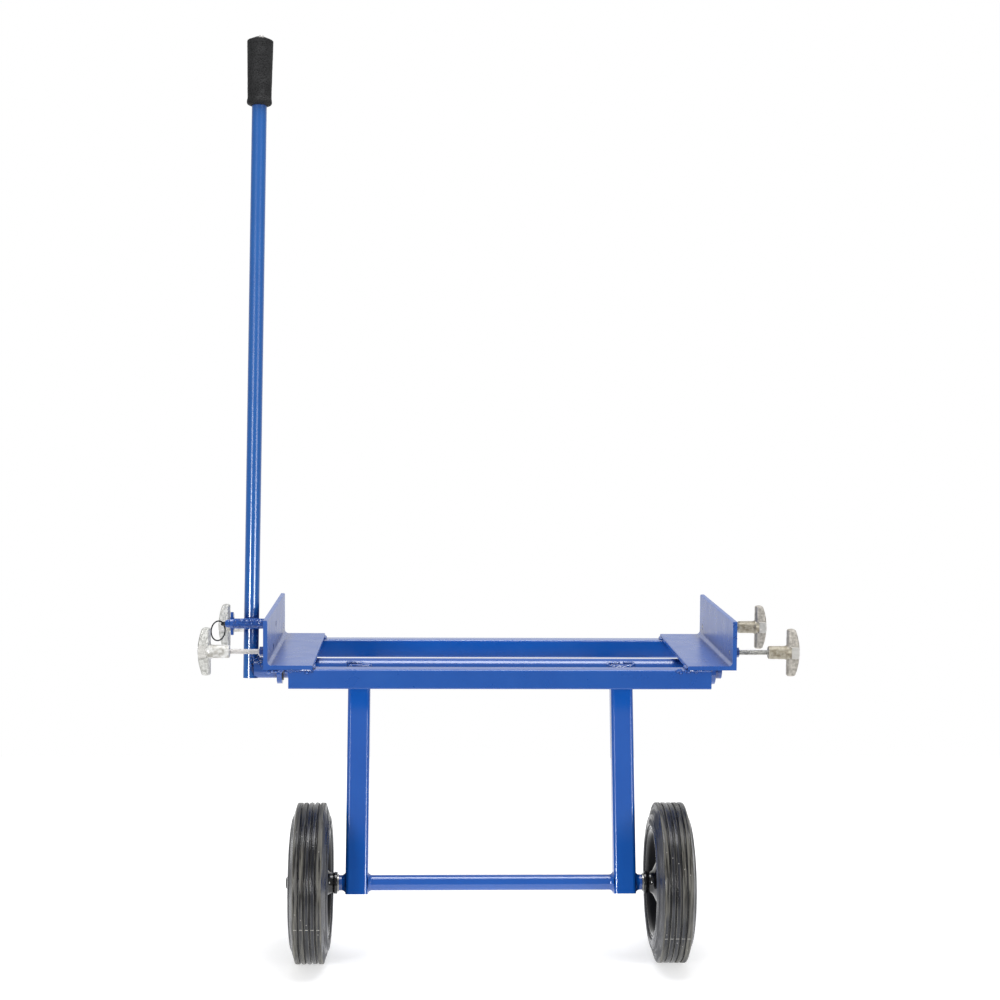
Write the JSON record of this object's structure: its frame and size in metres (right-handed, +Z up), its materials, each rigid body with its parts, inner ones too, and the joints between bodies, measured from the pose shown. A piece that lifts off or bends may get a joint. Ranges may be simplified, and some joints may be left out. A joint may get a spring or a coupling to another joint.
{
  "type": "ramp cart",
  "caption": "Wheeled steel saddle with clamp screws that holds the end of a loading ramp, swung and locked on a lever with a tall foam-gripped handle.",
  "frame": {"origin": "on the floor, under the middle of the cart's box", "axes": "+X is right, with the handle on the left. +Y is away from the front, and the handle leans that way. +Z is up."},
  "size_m": [0.9166, 0.3912, 1.4588],
  "materials": {
    "blue_paint": "gloss blue paint",
    "zinc_steel": "zinc plated",
    "cast_iron": "as cast, grey",
    "tyre_rubber": "matt, dusty",
    "black_plastic": "gloss",
    "bearing_brass": "sintered",
    "foam": "closed-cell foam",
    "spring_steel": "oiled",
    "dark_steel": "black oxide"
  },
  "bodies": {
    "saddle_frame": {"left_side_angle": "blue_paint", "right_side_angle": "blue_paint", "front_rail": "blue_paint", "rear_rail": "blue_paint", "left_pivot_lug": "blue_paint", "right_pivot_lug": "blue_paint", "clamp_weld_nuts": "blue_paint"},
    "lever": {"pivot_shaft": "blue_paint", "shaft_retaining_rings": "spring_steel", "left_leg": "blue_paint", "right_leg": "blue_paint", "axle_tube": "blue_paint", "axle_welds": "blue_paint", "axle_rod": "zinc_steel", "axle_washers": "zinc_steel", "axle_caps": "dark_steel", "handle_tube": "blue_paint", "handle_grip": "foam", "latch_barrel": "blue_paint", "latch_flange": "blue_paint", "latch_spring": "spring_steel"},
    "lock_pin": {"lock_pin": "dark_steel", "latch_knob": "blue_paint"},
    "pull_ring": {"pull_ring": "dark_steel"},
    "left_wheel": {"left_tyre": "tyre_rubber", "left_rim": "black_plastic", "left_bearings": "bearing_brass"},
    "right_wheel": {"right_tyre": "tyre_rubber", "right_rim": "black_plastic", "right_bearings": "bearing_brass"},
    "left_front_clamp_screw": {"left_front_clamp_rod": "zinc_steel"},
    "left_front_clamp_tee": {"left_front_clamp_handle": "cast_iron"},
    "left_rear_clamp_screw": {"left_rear_clamp_rod": "zinc_steel"},
    "left_rear_clamp_tee": {"left_rear_clamp_handle": "cast_iron"},
    "right_front_clamp_screw": {"right_front_clamp_rod": "zinc_steel"},
    "right_front_clamp_tee": {"right_front_clamp_handle": "cast_iron"},
    "right_rear_clamp_screw": {"right_rear_clamp_rod": "zinc_steel"},
    "right_rear_clamp_tee": {"right_rear_clamp_handle": "cast_iron"}
  },
  "joints": [
    {"name": "lever_swing", "type": "hinge", "parent": "saddle_frame", "child": "lever", "pos_m": [0, 0.02056, 0.44648], "axis": [1, 0, 0], "range_deg": [0, 45]},
    {"name": "lock_pin_slide", "type": "slide", "parent": "lever", "child": "lock_pin", "axis": [1, 0, 0], "range_m": [0, 0.0045], "deforming": ["latch_spring"]},
    {"name": "pull_ring_swing", "type": "hinge", "parent": "lock_pin", "child": "pull_ring", "pos_m": [-0.43435, 0.0091, 0.51892], "axis": [0.4305, 0.5125, -0.743], "range_deg": [-15, 130]},
    {"name": "left_wheel_spin", "type": "hinge", "parent": "lever", "child": "left_wheel", "pos_m": [-0.29, -0.07206, 0.1235], "axis": [1, 0, 0], "continuous": true},
    {"name": "right_wheel_spin", "type": "hinge", "parent": "lever", "child": "right_wheel", "pos_m": [0.27, -0.07206, 0.1235], "axis": [1, 0, 0], "continuous": true},
    {"name": "left_front_clamp_feed", "type": "slide", "parent": "saddle_frame", "child": "left_front_clamp_screw", "axis": [1, 0, 0], "range_m": [0, 0.04375]},
    {"name": "left_front_clamp_turn", "type": "hinge", "parent": "left_front_clamp_screw", "child": "left_front_clamp_tee", "pos_m": [-0.43935, -0.12244, 0.49428], "axis": [1, 0, 0], "range_deg": [0, 12600]},
    {"name": "left_rear_clamp_feed", "type": "slide", "parent": "saddle_frame", "child": "left_rear_clamp_screw", "axis": [1, 0, 0], "range_m": [0, 0.04375]},
    {"name": "left_rear_clamp_turn", "type": "hinge", "parent": "left_rear_clamp_screw", "child": "left_rear_clamp_tee", "pos_m": [-0.43935, 0.16356, 0.49428], "axis": [1, 0, 0], "range_deg": [0, 12600]},
    {"name": "right_front_clamp_feed", "type": "slide", "parent": "saddle_frame", "child": "right_front_clamp_screw", "axis": [-1, 0, 0], "range_m": [0, 0.04375]},
    {"name": "right_front_clamp_turn", "type": "hinge", "parent": "right_front_clamp_screw", "child": "right_front_clamp_tee", "pos_m": [0.43935, -0.12244, 0.49428], "axis": [-1, 0, 0], "range_deg": [0, 12600]},
    {"name": "right_rear_clamp_feed", "type": "slide", "parent": "saddle_frame", "child": "right_rear_clamp_screw", "axis": [-1, 0, 0], "range_m": [0, 0.04375]},
    {"name": "right_rear_clamp_turn", "type": "hinge", "parent": "right_rear_clamp_screw", "child": "right_rear_clamp_tee", "pos_m": [0.43935, 0.16356, 0.49428], "axis": [-1, 0, 0], "range_deg": [0, 12600]}
  ],
  "couplings": [
    {"joint": "left_front_clamp_feed", "follows": "left_front_clamp_turn", "m_per_rad": 0.00019894},
    {"joint": "left_rear_clamp_feed", "follows": "left_rear_clamp_turn", "m_per_rad": 0.00019894},
    {"joint": "right_front_clamp_feed", "follows": "right_front_clamp_turn", "m_per_rad": 0.00019894},
    {"joint": "right_rear_clamp_feed", "follows": "right_rear_clamp_turn", "m_per_rad": 0.00019894}
  ]
}
